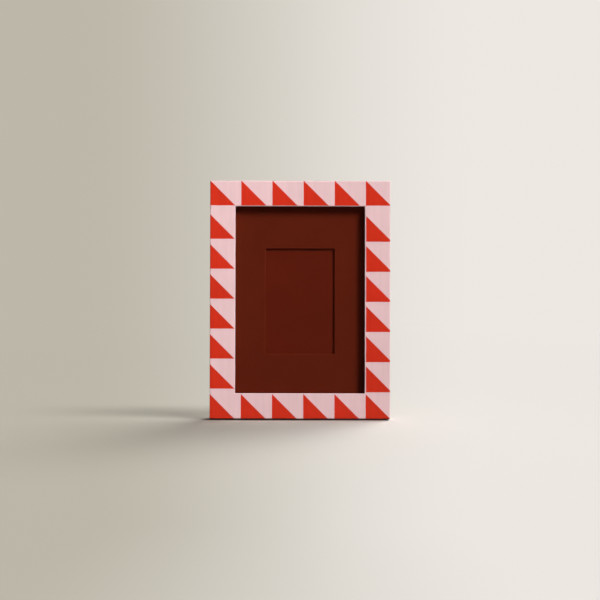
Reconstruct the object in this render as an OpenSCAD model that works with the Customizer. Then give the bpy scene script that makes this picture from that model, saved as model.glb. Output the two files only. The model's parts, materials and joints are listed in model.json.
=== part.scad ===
/* [Picture] */
// Width of the glass, the mat and the card
picture_w = 127; // [100:1:200]
// Height of the glass, the mat and the card
picture_h = 177.8; // [165:1:280]
// Width of the mat's window
window_w = 60.4; // [30:0.1:90]
// Height of the mat's window
window_h = 92.8; // [40:0.1:140]
// Chamfer round the front of the mat's window
window_bevel = 0.5; // [0.2:0.1:0.9]
// How far the window sits below the middle of the mat
window_drop = 0.8; // [0:0.1:5]

/* [Moulding] */
// Width of the moulding, seen from the front
moulding_w = 22.2; // [19:0.1:32]
// How far the front lip covers each edge of the picture
lip_w = 6.35; // [4:0.05:8]
// Depth of the lip in front of the glass, with its veneer
lip_d = 6; // [4:0.1:10]
// Width of the ledge that the back panel seats on
ledge_w = 6.5; // [6:0.1:8]
// Thickness of the patterned veneer on the front
veneer_t = 1; // [0.8:0.1:2]
// Radius of the eased outer edges
arris_r = 0.8; // [0.3:0.1:0.8]
// Chamfer round the front of the sight opening
sight_ease = 0.3; // [0.1:0.1:0.7]

/* [Triangle border] */
// Triangles in the top row and in the bottom row
row_count = 6; // [3:1:7]
// Triangles in each side column, between the two rows
column_count = 6; // [3:1:7]
// Pink left between a triangle and the edge that it points at
line_w = 0.4; // [0.2:0.1:2]
// Pink line between the right column and the sight opening
right_line_w = 1; // [0.2:0.1:2]
// Extra pink left between the left column and the top row
column_slack = 3.1; // [0:0.1:4]
// How much lower the right column starts than the left one
right_drop = 3.1; // [0:0.1:4]
// How much wider the right column is spaced than the left one
right_spread = 0.12; // [0:0.01:0.3]
// How far a tip of the top row would run past the outer edge, so it ends blunt
tip_over = 0.3; // [0.1:0.1:1]
// How far a tip of the right column would run past the outer edge
right_over = 1.6; // [0.1:0.1:3]

/* [Stack] */
// Thickness of the glass
glass_t = 2; // [1:0.1:4]
// Thickness of the mat
mat_t = 2; // [1.2:0.1:4]
// Thickness of the card behind the mat
card_t = 1; // [0.5:0.1:3]
// Thickness of the back panel
panel_t = 3; // [2.4:0.1:6]
// Thickness of the brown covering on the panel and the strut
cover_t = 0.4; // [0.2:0.1:1]
// How deep the finished back lies inside the moulding
back_recess = 1.5; // [0.5:0.1:4]

/* [Stand] */
// How far the frame leans back, in degrees
lean = 5; // [3:1:15]
// Angle between the open strut and the back panel, in degrees
strut_angle = 18; // [15:1:26]
// Height of the strut's pin above the bottom edge
hinge_z = 140; // [100:1:150]
// Thickness of the strut's board
strut_t = 3; // [2:0.1:5]
// Width of the strut at its pin
strut_top_w = 21.2; // [16:0.1:30]
// Width of the strut at its foot
strut_foot_w = 46; // [34:1:70]

/* [Hardware] */
// Thickness of the brass sheet of the bracket and the strap
brass_t = 0.8; // [0.5:0.1:1.2]
// Diameter of the hinge pin
pin_d = 1.8; // [1.2:0.1:2.4]
// Diameter of the rivets' shanks
rivet_d = 2; // [1.5:0.1:2.4]
// Diameter of the rivets' heads
rivet_head_d = 4.4; // [3.6:0.1:5]
// Diameter of the magnets and of their steel discs
magnet_d = 5; // [3:0.1:5.4]
// Thickness of the magnets
magnet_t = 2; // [1:0.1:3]
// Thickness of the steel discs
disc_t = 1.2; // [0.6:0.1:1.8]
// Width of the leather pull tab
tab_w = 14; // [8:0.5:24]
// Length of the leather pull tab
tab_l = 25; // [18:0.5:30]
// Thickness of the leather pull tab
tab_t = 1.1; // [0.8:0.1:1.4]

/* [Clearances] */
// Gap between the picture stack and the sides of its rebate
pane_gap = 0.5; // [0.2:0.1:1]
// Gap between two sheets of the stack, and under it
sheet_gap = 0.05; // [0.02:0.01:0.1]
// Gap round the back panel
panel_gap = 0.4; // [0.2:0.1:0.8]
// Gap between the panel and its ledge
seat_gap = 0.1; // [0.05:0.05:0.2]
// Radial gap between the hinge pin and its bores
pin_gap = 0.05; // [0.02:0.01:0.09]
// Radial gap round a rivet's shank, a magnet or a steel disc
fit_gap = 0.05; // [0.02:0.01:0.1]
// Gap between neighbouring faces of the hinge
side_gap = 0.2; // [0.1:0.05:0.4]
// Gap between the open strut's top and the bracket that stops it
stop_gap = 0.05; // [0.02:0.01:0.1]

/* [Hidden] */
$fn = 48;
past = 1;

// Openings in the moulding, from the front to the back
sight_w = picture_w - 2 * lip_w;
sight_h = picture_h - 2 * lip_w;
rebate_w = picture_w + 2 * pane_gap;
rebate_h = picture_h + 2 * pane_gap;
recess_w = rebate_w + 2 * ledge_w;
recess_h = rebate_h + 2 * ledge_w;
outer_w = sight_w + 2 * moulding_w;
outer_h = sight_h + 2 * moulding_w;
wall_w = (outer_w - recess_w) / 2;
centre_z = outer_h / 2;

// Depths, with zero at the moulding's back and the front below zero
cover_y = -back_recess;
panel_y = cover_y - cover_t;
panel_front_y = panel_y - panel_t;
ledge_y = panel_front_y - seat_gap;
card_y = ledge_y - sheet_gap;
mat_y = card_y - card_t - sheet_gap;
glass_y = mat_y - mat_t - sheet_gap;
lip_y = glass_y - glass_t - sheet_gap;
front_y = lip_y - lip_d;
core_y = front_y + veneer_t;
stack_z = centre_z - rebate_h / 2 + sheet_gap;

// Triangles: each has its square corner at the lower left
tri_leg = moulding_w - line_w;
row_pitch = (outer_w - tri_leg + tip_over) / (row_count - 1);
column_pitch = (outer_h - tri_leg - column_slack) / (column_count + 1);
column_gap = 2;
right_leg = min(moulding_w - right_line_w + right_over, column_pitch - column_gap);
top_row = [for (i = [0:row_count - 1])
    [i * row_pitch - outer_w / 2, outer_h - tri_leg, tri_leg + tip_over]];
bottom_row = [for (i = [0:row_count - 1]) [i * row_pitch - outer_w / 2, 0, tri_leg]];
left_column = [for (i = [1:column_count]) [-outer_w / 2, i * column_pitch, tri_leg]];
right_column = [for (i = [1:column_count])
    [sight_w / 2 + right_line_w, i * (column_pitch + right_spread) - right_drop, right_leg]];
triangles = concat(top_row, bottom_row, left_column, right_column);

// Corner nails, half way across the back of the moulding
nail_t = 0.5;
nail_leg = 4;
nail_h = 8;
nail_sunk = 0.2;
nail_inset = wall_w / 2;

// Magnets in the ledge and steel discs in the panel
ledge_mid_x = recess_w / 2 - ledge_w / 2;
ledge_mid_z = recess_h / 2 - ledge_w / 2;
magnet_inset = 12;
magnet_spread = sight_w / 2 - magnet_inset;
magnet_spots = concat(
    [for (x = [-1, 1], z = [-1, 1]) [x * magnet_spread, centre_z + z * ledge_mid_z]],
    [for (x = [-1, 1]) [x * ledge_mid_x, centre_z]]);

// Metal round the pin's bores, the strut's gap to the pin, a rivet head's gap to the ear
eye_wall = 1.15;
strut_clear = 0.4;
rivet_clear = 1.4;

// From a rivet's head to the side of its plate, and from its middle to the plate's end
plate_side = 1.6;
plate_end = 5;

// Hinge: a bracket with two ears on the panel, and a strap with two cheeks on the strut
pin_r = pin_d / 2;
bore_r = pin_r + pin_gap;
eye_r = bore_r + eye_wall;
pin_out = brass_t + eye_r + side_gap;
pin_y = cover_y + pin_out;
strut_in = pin_r + strut_clear;
strut_full_t = strut_t + 2 * cover_t;
strap_y = strut_in + strut_full_t;
cheek_x = strut_top_w / 2 + side_gap;
ear_x = cheek_x + brass_t + side_gap;
rivet_x = ear_x + brass_t + rivet_head_d / 2 + rivet_clear;
bracket_w = 2 * (rivet_x + rivet_head_d / 2 + plate_side);
bracket_low = 12;
bracket_high = 17;
bracket_corner = 3;
bracket_spots = [for (x = [-1, 1], z = [plate_end - bracket_low, bracket_high - plate_end])
    [x * rivet_x, z]];
strap_low = 23;
gusset_low = 12;
pair_low = 9;
strap_spots = [[-strut_top_w / 4, -pair_low], [strut_top_w / 4, -pair_low], [0, plate_end - strap_low]];
pin_head_over = 0.6;
pin_head_r = pin_r + pin_head_over;
pin_head_t = 0.6;

// Rivets: a domed head, a shank and a flat tail sunk in the board
rivet_r = rivet_d / 2;
head_h = 0.9;
tail_over = 0.8;
tail_r = rivet_r + tail_over;
tail_t = 0.6;

// Strut: where its inner corner meets the bracket, and where it meets the floor
stop_run = 1.5;
stop_z = (pin_out - brass_t - stop_gap + strut_in * cos(strut_angle)) / sin(strut_angle);
strut_top = stop_z + stop_run;
flare_below = 5;
flare_z = gusset_low + flare_below;
strut_tilt = strut_angle - lean;
top_corner_r = 4;

// Lean: the eased lower back edge and the strut's foot stand on z = 0
lean_z = -arris_r * (sin(lean) + cos(lean) - 1);
pin_floor_z = hinge_z * cos(lean) - pin_y * sin(lean) + lean_z;
pin_floor_y = hinge_z * sin(lean) + pin_y * cos(lean);
heel_back = strap_y * cos(strut_tilt) + (pin_floor_z + strap_y * sin(strut_tilt)) * tan(strut_tilt);
strut_reach = (pin_floor_z + strap_y * sin(strut_tilt)) / cos(strut_tilt);
nearest_y = (front_y + arris_r) * cos(lean) + arris_r * sin(lean) - arris_r;
lean_y = -(nearest_y + pin_floor_y + heel_back) / 2;

// Pull tab, below the panel's top edge, with round ends that are flat for a short way
tab_edge = 4;
tab_flat = 0.5;
tab_top = centre_z + recess_h / 2 - panel_gap - tab_edge;
tab_rivet_z = tab_top - tab_l + tab_w / 2;

pink = [0.91, 0.78, 0.79];
red = [0.80, 0.19, 0.12];
brown = [0.33, 0.11, 0.06];
card_brown = [0.36, 0.14, 0.08];
raw_wood = [0.80, 0.66, 0.48];
board = [0.60, 0.44, 0.30];
brass = [0.80, 0.64, 0.34];
steel = [0.68, 0.69, 0.71];
clear_glass = [0.80, 0.90, 0.90, 0.3];
leather = [0.42, 0.20, 0.11];

echo(outer = [outer_w, -front_y, outer_h], lean_shift = [lean_y, lean_z]);
echo(pin = [pin_floor_y + lean_y, pin_floor_z], foot = pin_floor_y + heel_back + lean_y);

// Stands the frame on its lower back edge, leaning back
module leaned() {
    translate([0, lean_y, lean_z]) rotate([-lean, 0, 0]) children();
}

// A flat outline in x and z, given a depth from y0 back to y1
module slab(y0, y1) {
    translate([0, y1, 0]) rotate([90, 0, 0]) linear_extrude(y1 - y0) children();
}

// A flat outline in y and z, given a width from x0 to x1
module side_plate(x0, x1) {
    translate([x0, 0, 0]) rotate([90, 0, 90]) linear_extrude(x1 - x0) children();
}

module centred_rect(w, h) {
    translate([-w / 2, centre_z - h / 2]) square([w, h]);
}

module rounded_rect(w, h, r) {
    translate([-w / 2, r]) square([w, h - 2 * r]);
    translate([r - w / 2, 0]) square([w - 2 * r, h]);
    for (x = [r - w / 2, w / 2 - r], z = [r, h - r]) translate([x, z]) circle(r);
}

// The whole moulding as a block, with all its edges eased
module eased_block() {
    intersection() {
        slab(front_y, 0) rounded_rect(outer_w, outer_h, arris_r);
        side_plate(-outer_w / 2 - past, outer_w / 2 + past)
            translate([front_y / 2, 0]) rounded_rect(-front_y, outer_h, arris_r);
        translate([0, 0, -past]) linear_extrude(outer_h + 2 * past)
            translate([0, front_y]) rounded_rect(outer_w, -front_y, arris_r);
    }
}

// Chamfer cutter along the four sides of an opening in a face at y0
module edge_chamfer(w, h, y0, size) {
    cut = [[y0 - past, -size - past], [y0 + size, 0], [y0 + size, past], [y0 - past, past]];
    for (side = [-1, 1]) {
        translate([0, 0, centre_z + side * h / 2]) mirror([0, 0, side > 0 ? 0 : 1])
            mirror([0, 0, 1]) side_plate(-w / 2, w / 2) polygon(cut);
        translate([side * w / 2, 0, centre_z]) rotate([0, side * 90, 0])
            mirror([0, 0, 1]) side_plate(-h / 2, h / 2) polygon(cut);
    }
}

module sight_opening() {
    slab(front_y - past, past) centred_rect(sight_w, sight_h);
}

module picture_rebate() {
    slab(lip_y, past) centred_rect(rebate_w, rebate_h);
}

module panel_rebate() {
    slab(ledge_y, past) centred_rect(recess_w, recess_h);
}

module frame_magnet_bores(extra) {
    for (p = magnet_spots) translate([p[0], ledge_y - magnet_t, p[1]])
        rotate([-90, 0, 0]) cylinder(r = magnet_d / 2 + extra, h = magnet_t + (extra > 0 ? past : 0));
}

// One bent nail in each corner, its two legs along the two pieces that it joins
module v_nails(extra) {
    for (x = [-1, 1], z = [-1, 1])
        translate([x * (outer_w / 2 - nail_inset), -nail_sunk - nail_h, centre_z + z * (outer_h / 2 - nail_inset)])
            mirror([x > 0 ? 1 : 0, 0, 0]) mirror([0, 0, z > 0 ? 1 : 0]) {
                cube([nail_leg, nail_h + extra, nail_t]);
                cube([nail_t, nail_h + extra, nail_leg]);
            }
}

// The wooden core of the moulding, all four pieces in one
module moulding_core() {
    difference() {
        intersection() {
            eased_block();
            slab(core_y, past) centred_rect(outer_w + 2 * past, outer_h + 2 * past);
        }
        sight_opening();
        picture_rebate();
        panel_rebate();
        frame_magnet_bores(fit_gap);
        v_nails(nail_sunk + past);
    }
}

// The share of one piece, between the mitres at its two ends
module mitred_piece(turn) {
    long = turn % 180 == 0 ? outer_w : outer_h;
    across = turn % 180 == 0 ? outer_h : outer_w;
    in = moulding_w + past;
    half = long / 2;
    intersection() {
        moulding_core();
        translate([0, 0, centre_z]) rotate([0, turn, 0]) slab(front_y - past, past)
            translate([0, across / 2]) polygon([[-half - past, past], [half + past, past],
                [half - in, -in], [in - half, -in]]);
    }
}

// The front face's veneer, before the triangles are cut out of it
module face_veneer() {
    difference() {
        intersection() {
            eased_block();
            slab(front_y, core_y) centred_rect(outer_w + 2 * past, outer_h + 2 * past);
        }
        sight_opening();
        edge_chamfer(sight_w, sight_h, front_y, sight_ease);
    }
}

module triangle_prisms() {
    slab(front_y - past, core_y + past) for (t = triangles)
        translate([t[0], t[1]]) polygon([[0, 0], [t[2], 0], [0, t[2]]]);
}

module sheet(back_y, thick) {
    slab(back_y - thick, back_y) translate([-picture_w / 2, stack_z]) square([picture_w, picture_h]);
}

// A rivet along y: its head stands on y = 0 and its tail ends at -grip
module rivet(grip) {
    cap_r = (pow(rivet_head_d / 2, 2) + pow(head_h, 2)) / (2 * head_h);
    intersection() {
        translate([0, head_h - cap_r, 0]) sphere(cap_r);
        translate([-rivet_head_d, 0, -rivet_head_d]) cube([2 * rivet_head_d, head_h + past, 2 * rivet_head_d]);
    }
    rotate([90, 0, 0]) cylinder(r = rivet_r, h = grip);
    translate([0, tail_t - grip, 0]) rotate([90, 0, 0]) cylinder(r = tail_r, h = tail_t);
}

// The hole for a rivet whose tail is sunk in the face at -grip
module rivet_hole(grip) {
    translate([0, past, 0]) rotate([90, 0, 0]) cylinder(r = rivet_r + fit_gap, h = grip + 2 * past);
    translate([0, tail_t + fit_gap - grip, 0]) rotate([90, 0, 0])
        cylinder(r = tail_r + fit_gap, h = tail_t + fit_gap + past);
}

bracket_grip = brass_t + cover_t + panel_t;
tab_grip = tab_t + cover_t + panel_t;
strap_grip = brass_t + strut_full_t;

module at_bracket_rivets() {
    for (p = bracket_spots) translate([p[0], cover_y + brass_t, hinge_z + p[1]]) children();
}

module at_tab_rivet() {
    translate([0, cover_y + tab_t, tab_rivet_z]) children();
}

module at_strap_rivets() {
    for (p = strap_spots) translate([p[0], strap_y + brass_t, p[1]]) children();
}

module panel_layer(y0, y1) {
    difference() {
        slab(y0, y1) centred_rect(recess_w - 2 * panel_gap, recess_h - 2 * panel_gap);
        at_bracket_rivets() rivet_hole(bracket_grip);
        at_tab_rivet() rivet_hole(tab_grip);
    }
}

// Puts a piece drawn round the hinge pin on the open strut
module on_strut() {
    translate([0, pin_y, hinge_z]) rotate([strut_angle, 0, 0]) children();
}

module strut_outline() {
    half = strut_top_w / 2;
    foot = strut_foot_w / 2;
    r = top_corner_r;
    translate([-half, -flare_z]) square([strut_top_w, strut_top + flare_z - r]);
    translate([r - half, 0]) square([strut_top_w - 2 * r, strut_top]);
    for (x = [r - half, half - r]) translate([x, strut_top - r]) circle(r);
    polygon([[-half, -flare_z], [-foot, -strut_reach - past], [foot, -strut_reach - past],
        [half, -flare_z]]);
}

// A layer of the strut, cut where it stops on the bracket and where it stands
module strut_layer(y0, y1) {
    intersection() {
        leaned() intersection() {
            on_strut() difference() {
                slab(y0, y1) strut_outline();
                at_strap_rivets() rivet_hole(strap_grip);
            }
            slab(cover_y + brass_t + stop_gap, outer_h) centred_rect(outer_w, 2 * outer_h);
        }
        translate([-outer_w / 2, -outer_h, 0]) cube([outer_w, 2 * outer_h, outer_h]);
    }
}

module top_rail() { color(raw_wood) leaned() mitred_piece(0); }
module bottom_rail() { color(raw_wood) leaned() mitred_piece(180); }
module left_stile() { color(raw_wood) leaned() mitred_piece(270); }
module right_stile() { color(raw_wood) leaned() mitred_piece(90); }
module corner_v_nails() { color(steel) leaned() v_nails(0); }
module frame_magnets() { color(steel) leaned() frame_magnet_bores(0); }

module pink_veneer() {
    color(pink) leaned() difference() {
        face_veneer();
        triangle_prisms();
    }
}

module red_triangles() {
    color(red) leaned() intersection() {
        face_veneer();
        triangle_prisms();
    }
}

module glass_pane() { color(clear_glass) leaned() sheet(glass_y, glass_t); }

module mat_board() {
    window_z = stack_z + picture_h / 2 - window_drop;
    color(brown) leaned() difference() {
        sheet(mat_y, mat_t);
        translate([0, 0, window_z - centre_z]) {
            slab(mat_y - mat_t - past, mat_y + past) centred_rect(window_w, window_h);
            edge_chamfer(window_w, window_h, mat_y - mat_t, window_bevel);
        }
    }
}

module backing_card() { color(card_brown) leaned() sheet(card_y, card_t); }

module back_panel() {
    color(board) leaned() difference() {
        panel_layer(panel_front_y, panel_y);
        for (p = magnet_spots) translate([p[0], panel_front_y - past, p[1]])
            rotate([-90, 0, 0]) cylinder(r = magnet_d / 2 + fit_gap, h = disc_t + past);
    }
}

module back_cover() { color(brown) leaned() panel_layer(panel_y, cover_y); }

module keeper_discs() {
    color(steel) leaned() for (p = magnet_spots) translate([p[0], panel_front_y, p[1]])
        rotate([-90, 0, 0]) cylinder(r = magnet_d / 2, h = disc_t);
}

module hinge_bracket() {
    color(brass) leaned() translate([0, 0, hinge_z]) difference() {
        union() {
            slab(cover_y, cover_y + brass_t) translate([0, -bracket_low])
                rounded_rect(bracket_w, bracket_low + bracket_high, bracket_corner);
            for (x = [-ear_x - brass_t, ear_x]) side_plate(x, x + brass_t) {
                translate([pin_y, 0]) circle(eye_r);
                translate([cover_y, -eye_r]) square([pin_out, 2 * eye_r]);
            }
        }
        translate([-ear_x - 2 * brass_t, pin_y, 0]) rotate([0, 90, 0])
            cylinder(r = bore_r, h = 2 * ear_x + 4 * brass_t);
        translate([0, 0, -hinge_z]) at_bracket_rivets() rivet_hole(bracket_grip);
    }
}

module hinge_pin() {
    half = ear_x + brass_t + side_gap / 2;
    color(steel) leaned() translate([0, pin_y, hinge_z]) rotate([0, 90, 0]) {
        translate([0, 0, -half]) cylinder(r = pin_r, h = 2 * half);
        for (z = [-half - pin_head_t, half]) translate([0, 0, z]) cylinder(r = pin_head_r, h = pin_head_t);
    }
}

module bracket_rivets() { color(brass) leaned() at_bracket_rivets() rivet(bracket_grip); }

module pull_tab() {
    color(leather) leaned() difference() {
        slab(cover_y, cover_y + tab_t) translate([0, tab_top - tab_l])
            rounded_rect(tab_w, tab_l, (tab_w - tab_flat) / 2);
        at_tab_rivet() rivet_hole(tab_grip);
    }
}

module tab_rivet() { color(brass) leaned() at_tab_rivet() rivet(tab_grip); }

module strut_board() { color(board) strut_layer(strut_in + cover_t, strap_y - cover_t); }

module strut_cover() {
    color(brown) {
        strut_layer(strut_in, strut_in + cover_t);
        strut_layer(strap_y - cover_t, strap_y);
    }
}

module strut_strap() {
    half = cheek_x + brass_t;
    back = strap_y + brass_t;
    color(brass) leaned() on_strut() difference() {
        union() {
            slab(strap_y, back) polygon([[-half, eye_r], [half, eye_r], [half, -gusset_low],
                [strut_top_w / 4, -strap_low], [-strut_top_w / 4, -strap_low], [-half, -gusset_low]]);
            for (x = [-half, cheek_x]) side_plate(x, x + brass_t) {
                circle(eye_r);
                polygon([[0, -eye_r], [0, eye_r], [back, eye_r], [back, -gusset_low],
                    [strap_y, -gusset_low]]);
            }
        }
        translate([-half - past, 0, 0]) rotate([0, 90, 0]) cylinder(r = bore_r, h = 2 * (half + past));
        at_strap_rivets() rivet_hole(strap_grip);
    }
}

module strap_rivets() { color(brass) leaned() on_strut() at_strap_rivets() rivet(strap_grip); }

top_rail();
bottom_rail();
left_stile();
right_stile();
corner_v_nails();
frame_magnets();
pink_veneer();
red_triangles();
glass_pane();
mat_board();
backing_card();
back_panel();
back_cover();
keeper_discs();
hinge_bracket();
hinge_pin();
bracket_rivets();
pull_tab();
tab_rivet();
strut_board();
strut_cover();
strut_strap();
strap_rivets();
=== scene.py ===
"""Looks of a free-standing wooden picture frame with a triangle border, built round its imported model."""
import json
import math

import bmesh
import bpy
from bpy.props import FloatProperty, FloatVectorProperty, IntProperty, PointerProperty
from mathutils import Matrix, Vector


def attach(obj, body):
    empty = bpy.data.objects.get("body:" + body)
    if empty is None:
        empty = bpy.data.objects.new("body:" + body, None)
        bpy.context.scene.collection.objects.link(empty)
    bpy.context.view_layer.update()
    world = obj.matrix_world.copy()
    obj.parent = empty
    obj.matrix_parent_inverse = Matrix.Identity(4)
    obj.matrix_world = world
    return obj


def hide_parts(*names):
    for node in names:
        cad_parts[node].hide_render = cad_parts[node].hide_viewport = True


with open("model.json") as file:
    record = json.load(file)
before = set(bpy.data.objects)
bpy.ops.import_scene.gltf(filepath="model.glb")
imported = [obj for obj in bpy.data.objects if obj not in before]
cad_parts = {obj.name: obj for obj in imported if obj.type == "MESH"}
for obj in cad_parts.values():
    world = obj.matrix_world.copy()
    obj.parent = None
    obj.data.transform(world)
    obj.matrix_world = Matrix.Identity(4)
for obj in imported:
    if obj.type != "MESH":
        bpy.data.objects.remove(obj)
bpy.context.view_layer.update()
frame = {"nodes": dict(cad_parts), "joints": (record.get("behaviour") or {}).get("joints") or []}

bl_info = {
    "name": "Triangle Border Picture Frame",
    "version": (1, 0, 0),
    "blender": (4, 5, 0),
    "location": "View3D > Sidebar > Picture Frame",
    "description": "Finishes a wooden picture frame: veneers, glass, mat, suede back and brass strut hinge",
    "category": "Object",
}

MM = 0.001
RAILS = ("top_rail", "bottom_rail")
STILES = ("left_stile", "right_stile")
MERGE = 0.002 * MM  # corners closer than this are one
FOOT_SPARE = 2 * MM  # how much longer the strut is before its foot is cut level
PAINT_MARGIN = 0.9 * MM  # how far the pink lacquer reaches round the outer edges
EDGE_SKIN = 0.05 * MM  # how far inside a piece its edge face still counts as edge
QUARTER = [math.radians(15 * i) for i in range(7)]  # a quarter turn in six steps
FLAT = math.radians(0.5)  # faces at less than this to each other are one
SMOOTH = math.radians(30)  # and at less than this are shaded as one
SHARP = math.radians(40)  # edges sharper than this are rounded
STEEP = math.radians(60)  # the same, on shapes with shallow corners


# Places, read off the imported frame

def points_in(placing, *nodes):
    """All corners of CAD nodes, along the axes of a placing matrix, in metres."""
    inward = placing.inverted()
    return [inward @ v.co for name in nodes for v in frame["nodes"][name].data.vertices]


def box_of(points):
    """Lowest and highest corner of the box round some points."""
    return [Vector([end(p[i] for p in points) for i in range(3)]) for end in (min, max)]


def span(placing, *nodes):
    """Lowest and highest corner of CAD nodes, along the axes of a placing matrix, in metres."""
    return box_of(points_in(placing, *nodes))


def joint(name):
    """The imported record's entry for one joint."""
    return next(j for j in frame["joints"] if j["name"] == name)


def moulding_placing():
    """Axes of the leaning frame from the middle of its lower back edge: x across, y to the back, z up."""
    axis = joint("back_lift")["axis"]
    turn = Matrix.Rotation(math.atan2(axis[2], axis[1]), 4, "X")
    low, high = span(turn, *RAILS, *STILES)
    return turn @ Matrix.Translation((0, high.y, low.z))


def strut_placing():
    """Axes of the open strut from its hinge pin: x across, y through its thickness, z up along it."""
    fold = joint("strut_fold")
    opening = math.radians(-fold["range_deg"][0])
    turn = Matrix.Rotation(opening, 4, "X") @ LEANED.to_3x3().to_4x4()
    return Matrix.Translation(fold["pos_m"]) @ turn


LEANED = moulding_placing()
ON_STRUT = strut_placing()
OUTER_LOW, OUTER_HIGH = span(LEANED, *RAILS, *STILES)
FACE_DEPTH = span(LEANED, "pink_veneer", "red_triangles")[0].y
OUTER_W = OUTER_HIGH.x - OUTER_LOW.x
OUTER_H = OUTER_HIGH.z - OUTER_LOW.z
MOULDING_W = span(LEANED, "left_stile")[1].x - OUTER_LOW.x
SIGHT_W = OUTER_W - 2 * MOULDING_W
SIGHT_H = OUTER_H - 2 * MOULDING_W
FACE_MIDDLE = LEANED @ Vector((0, FACE_DEPTH, OUTER_H / 2))
FACE_WAY = LEANED.to_3x3() @ Vector((0, -1, 0))  # straight out of the face
PANE_LOW, PANE_HIGH = span(LEANED, "glass_pane")


# Settings that a user would change

def colour_setting(name, description, default):
    return FloatVectorProperty(
        name=name, description=description, default=default, size=3, min=0, max=1, subtype="COLOR_GAMMA")


def number_setting(name, description, default, **limits):
    return FloatProperty(name=name, description=description, default=default, **limits)


def length_setting(name, description, default, lowest, highest):
    return number_setting(name, description, default, min=lowest, max=highest,
                          precision=5, unit="LENGTH", subtype="DISTANCE")


def small_setting(name, description, *sizes):
    """A length setting whose default, lowest and highest value are given in millimetres."""
    return length_setting(name, description, *[size * MM for size in sizes])


def angle_setting(name, description, degrees):
    return number_setting(name, description, math.radians(degrees), subtype="ANGLE", unit="ROTATION")


class PICTUREFRAME_PG_colours(bpy.types.PropertyGroup):
    """Colours of the finishes, as they look on a screen."""

    pink: colour_setting("Pink", "Dyed ground veneer and side lacquer", (0.905, 0.759, 0.768))
    red: colour_setting("Red", "Dyed triangle veneer", (0.811, 0.191, 0.11))
    raw_wood: colour_setting("Raw Wood", "Bare wood in the rebates and on the back", (0.83, 0.71, 0.55))
    mat: colour_setting("Mat", "Paper face of the mat board", (0.367, 0.121, 0.056))
    card: colour_setting("Card", "Card behind the mat's window", (0.366, 0.111, 0.050))
    fibre: colour_setting("Fibreboard", "Pressed board of the back panel", (0.55, 0.39, 0.25))
    suede: colour_setting("Suede", "Flocked covering of the back and the strut", (0.27, 0.15, 0.115))
    brass: colour_setting("Brass", "Sheet brass and rivets", (0.86, 0.72, 0.44))
    steel: colour_setting("Steel", "Pin, nails, magnets and discs", (0.72, 0.72, 0.73))
    leather: colour_setting("Leather", "Pull tab", (0.46, 0.23, 0.13))
    thread: colour_setting("Thread", "Stitches of the pull tab", (0.87, 0.76, 0.62))


class PICTUREFRAME_PG_sizes(bpy.types.PropertyGroup):
    """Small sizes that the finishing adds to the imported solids."""

    seam: small_setting("Veneer Seam", "Chamfer on the veneers' edges", 0.06, 0, 0.3)
    board_ease: small_setting("Board Ease", "Rounding of the mat and card edges", 0.12, 0, 0.4)
    # the mat's paler window rim is partly the board's core and partly a painted highlight on the bevel
    core_and_highlight_rim: small_setting("Core Rim", "Width of the mat's core at its window", 0.55, 0, 2)
    metal_ease: small_setting("Metal Ease", "Rounding of the sheet metal's edges", 0.1, 0, 0.3)
    cover_ease: small_setting("Cover Ease", "Rounding of the back cover's edge", 0.18, 0, 0.3)
    wrap_ease: small_setting("Wrap Ease", "Rounding of the strut's edges", 0.7, 0.1, 1.5)
    tab_ease: small_setting("Tab Ease", "Rounding of the leather's edges", 0.3, 0.05, 0.5)
    rivet_shank: small_setting("Rivet Shank", "Diameter of the rivets' shanks", 2, 1, 3)
    rivet_rise: small_setting("Rivet Head", "Height of the rivets' heads", 0.9, 0.4, 2)
    rivet_tail: small_setting("Rivet Tail", "Diameter of the rivets' sunk tails", 3.6, 2, 5)
    tail_rise: small_setting("Tail Height", "Height of the rivets' sunk tails", 0.6, 0.2, 1)
    stitch: small_setting("Stitch", "Length of one stitch", 1.9, 1, 4)
    stitch_pitch: small_setting("Stitch Pitch", "Distance from stitch to stitch", 2.5, 1, 5)
    thread: small_setting("Thread", "Diameter of the thread", 0.5, 0.2, 1)
    stitch_inset: small_setting("Stitch Inset", "Distance from the tab's edge", 1.7, 0.5, 3)
    round_steps: IntProperty(
        name="Round Steps", description="Sides of turned parts", default=28, min=8, max=64)


class PICTUREFRAME_PG_stage(bpy.types.PropertyGroup):
    """Camera, floor and lamps."""

    distance: length_setting("Camera Distance", "From the lens to the frame's face", 1.5, 1.0, 10.0)
    elevation: angle_setting("Camera Elevation", "How far the camera looks down", 3.8)
    roll: angle_setting("Camera Roll", "Turn about the line of sight", 0.12)
    field: length_setting("Field", "Width of the picture where the frame stands", 0.5280, 0.1, 3.0)
    left_tone: colour_setting("Left Tone", "Floor and background at the left", (0.741, 0.718, 0.663))
    right_tone: colour_setting("Right Tone", "Floor and background at the right", (0.929, 0.910, 0.886))
    left_end: number_setting("Left End", "Slope of sight where the left tone ends", -0.134)
    right_end: number_setting("Right End", "Slope of sight where the right tone starts", 0.110)
    key: number_setting("Key Lamp", "Light on the face from the upper right", 1.83, min=0)
    fill: number_setting("Fill Lamp", "Light on the face from the front", 0.03, min=0)
    back: number_setting("Back Lamp", "Light on the frame's back", 0.6, min=0)
    rear: number_setting("Rear Lamp", "Share of the floor's light from behind", 0.06, min=0)
    corner: number_setting("Corner Lamp", "Share from the right and behind", 0.50, min=0)
    side: number_setting("Side Lamp", "Share from the right", 0.26, min=0)
    high: number_setting("High Lamp", "Share from high at the right", 0.14, min=0)
    sky: number_setting("Sky", "Share from all round", 0.04, min=0)


def shade(colour, share=1.0):
    """A screen colour as the linear colour that a shader takes, made darker or paler by a share."""
    parts = [c / 12.92 if c <= 0.04045 else ((c + 0.055) / 1.055) ** 2.4 for c in colour]
    return (*[min(1.0, c * share) for c in parts], 1.0)


# Shorthand for node trees

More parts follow.
